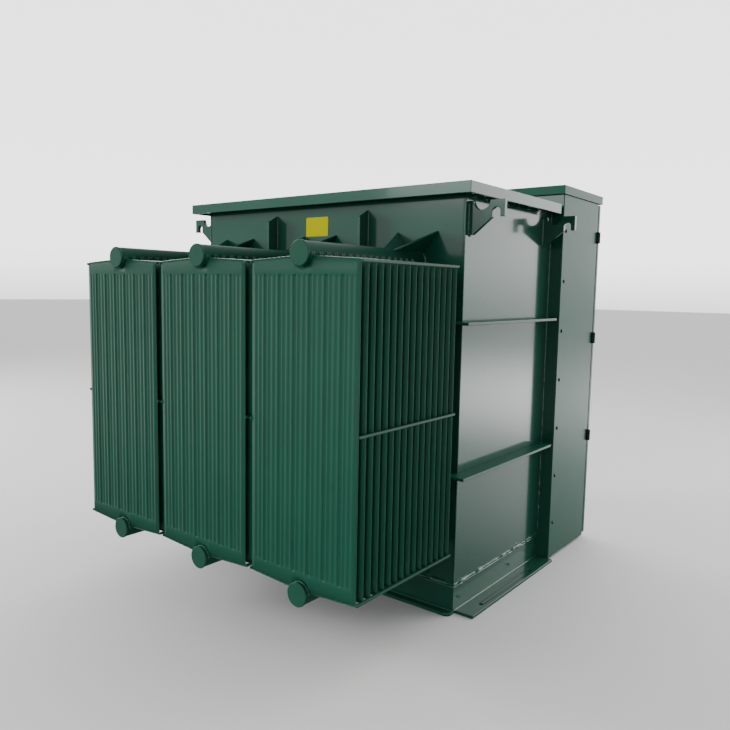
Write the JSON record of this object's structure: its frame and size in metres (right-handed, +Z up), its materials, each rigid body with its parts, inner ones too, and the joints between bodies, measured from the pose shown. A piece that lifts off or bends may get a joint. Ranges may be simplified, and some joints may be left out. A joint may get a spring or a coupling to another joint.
{
  "type": "pad-mounted power transformer",
  "caption": "Pad-mounted power transformer: welded green tank with a lipped cover, fluted panel radiators on header pipes behind it and a terminal cabinet with hinged doors in front.",
  "frame": {"origin": "middle of the bounding box, on the ground", "axes": "+Z up, +Y towards the radiators, -Y towards the cabinet doors, +X to the right from the doors"},
  "size_m": [1.91, 2.139, 1.928],
  "materials": {
    "green_paint": "gloss",
    "black_iron": "satin",
    "bushing_resin": "gloss",
    "terminal_metal": "satin",
    "core_steel": "matte"
  },
  "bodies": {
    "tank": {"tank_left_wall": "green_paint", "tank_right_wall": "green_paint", "tank_rear_wall": "green_paint", "tank_front_plate": "green_paint", "tank_floor": "green_paint", "tank_rim": "green_paint", "tank_cover": "green_paint", "left_base_rail": "green_paint", "right_base_rail": "green_paint", "rear_base_rail": "green_paint", "upper_belt": "green_paint", "lower_belt": "green_paint", "rear_stiffeners": "green_paint", "lifting_hooks": "green_paint", "left_radiator_panels": "green_paint", "middle_radiator_panels": "green_paint", "right_radiator_panels": "green_paint", "left_radiator_headers": "green_paint", "middle_radiator_headers": "green_paint", "right_radiator_headers": "green_paint", "left_tie_bars": "green_paint", "middle_tie_bars": "green_paint", "right_tie_bars": "green_paint", "header_gussets": "green_paint", "cabinet_left_side": "green_paint", "cabinet_right_side": "green_paint", "cabinet_hood": "green_paint", "cabinet_sill": "green_paint", "compartment_barrier": "green_paint", "left_hinges": "black_iron", "right_hinges": "black_iron", "hv_bushings": "bushing_resin", "lv_bushings": "terminal_metal", "core_and_windings": "core_steel"},
    "left_door": {"left_door": "green_paint", "left_door_knuckles": "black_iron"},
    "right_door": {"right_door": "green_paint", "right_door_knuckles": "black_iron", "door_handle": "black_iron"}
  },
  "joints": [
    {"name": "left_door_hinge", "type": "hinge", "parent": "tank", "child": "left_door", "pos_m": [-0.863, -1.008, 0.95], "axis": [0, 0, -1], "range_deg": [0, 110]},
    {"name": "right_door_hinge", "type": "hinge", "parent": "tank", "child": "right_door", "pos_m": [0.863, -1.008, 0.95], "axis": [0, 0, 1], "range_deg": [0, 110]}
  ]
}
